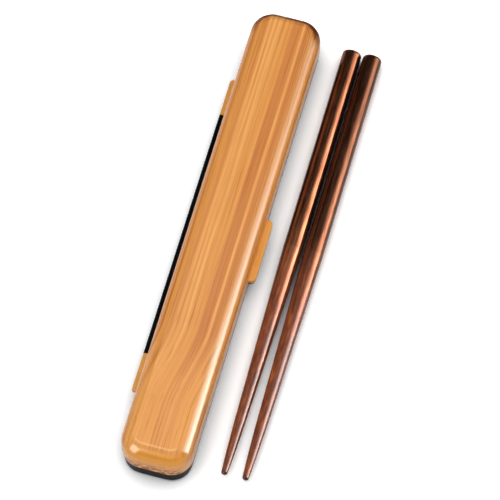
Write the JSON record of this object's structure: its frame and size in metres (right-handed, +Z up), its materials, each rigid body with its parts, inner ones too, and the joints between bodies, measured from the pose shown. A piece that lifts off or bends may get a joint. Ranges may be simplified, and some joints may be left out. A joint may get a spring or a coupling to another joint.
{
  "type": "portable chopstick case",
  "caption": "Slim hinged travel case for chopsticks: rounded wood-pattern lid with a thumb tab on a black tray, with the dark lacquered sticks lying beside it.",
  "frame": {"origin": "middle of the tray's flat underside", "axes": "+Z up, +Y along the case towards the sticks' butt ends, +X from the hinge side towards the thumb tab"},
  "size_m": [0.0528, 0.1896, 0.02],
  "materials": {
    "lid_plastic": "glossy, printed with a straight wood grain",
    "tray_plastic": "glossy black",
    "pin_steel": "drawn wire",
    "stick_wood": "dark brown wood under clear lacquer"
  },
  "bodies": {
    "tray": {"tray": "tray_plastic"},
    "lid": {"lid": "lid_plastic", "hinge_pin_far": "pin_steel", "hinge_pin_near": "pin_steel"},
    "chopstick_left": {"chopstick_left": "stick_wood"},
    "chopstick_right": {"chopstick_right": "stick_wood"}
  },
  "joints": [
    {"name": "lid_hinge", "type": "hinge", "parent": "tray", "child": "lid", "pos_m": [-0.0148, 0, 0.0082], "axis": [0, -1, 0], "range_deg": [0, 150]},
    {"name": "left_stick_lift", "type": "slide", "parent": "tray", "child": "chopstick_left", "axis": [0, 0, 1], "range_m": [0, 0.03]},
    {"name": "right_stick_lift", "type": "slide", "parent": "tray", "child": "chopstick_right", "axis": [0, 0, 1], "range_m": [0, 0.03]}
  ]
}
